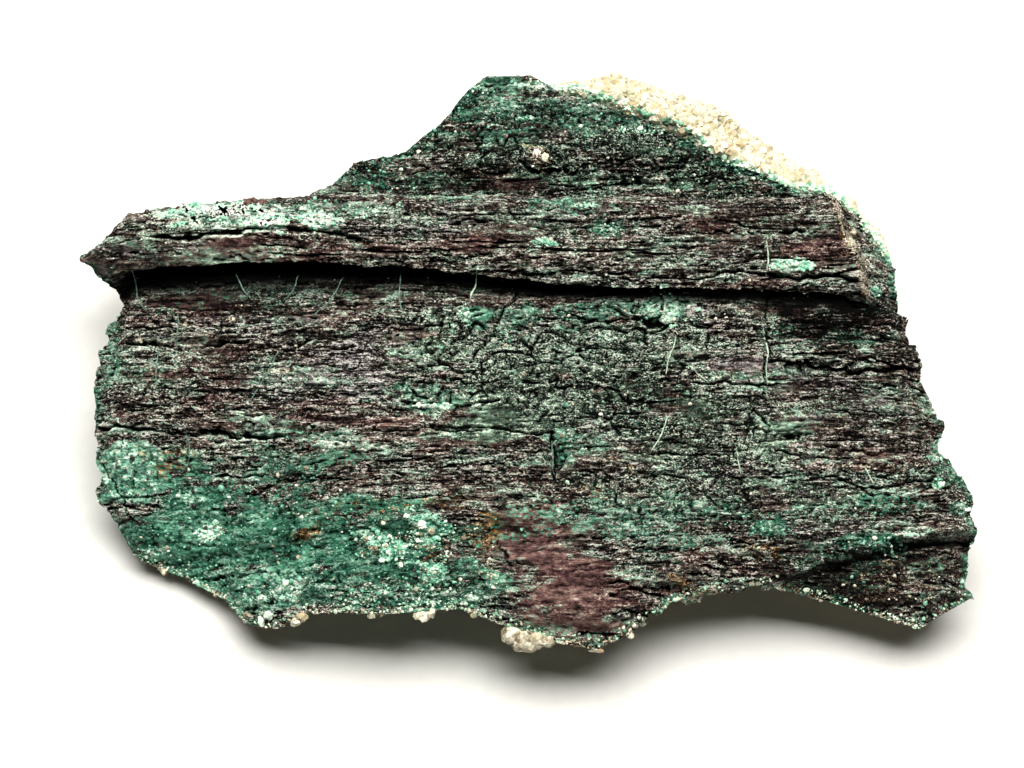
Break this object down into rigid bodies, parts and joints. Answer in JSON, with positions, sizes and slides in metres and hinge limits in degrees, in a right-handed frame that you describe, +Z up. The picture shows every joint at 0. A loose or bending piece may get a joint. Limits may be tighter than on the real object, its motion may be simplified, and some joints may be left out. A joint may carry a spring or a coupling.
{
  "type": "chalcocite pseudomorph",
  "caption": "Slab of fossil wood replaced by dark chalcocite, with a raised rib along its grain and green malachite crusts, lying on pale quartz sandstone.",
  "frame": {"origin": "on the surface the stone rests on, under the middle of its bounding box", "axes": "+X along the wood grain towards the broken-off end of the rib, +Y from the near rim towards the peak and the sandstone shelf, +Z up"},
  "size_m": [0.1334, 0.0942, 0.0242],
  "materials": {
    "chalcocite": "split along the wood grain, dark grey-brown with a faint metallic glint, crusted with green malachite",
    "sandstone": "rough broken quartz sandstone, cream to tan, with glassy grains"
  },
  "bodies": {
    "root": {"chalcocite_wood": "chalcocite", "quartz_matrix": "sandstone"}
  },
  "joints": []
}
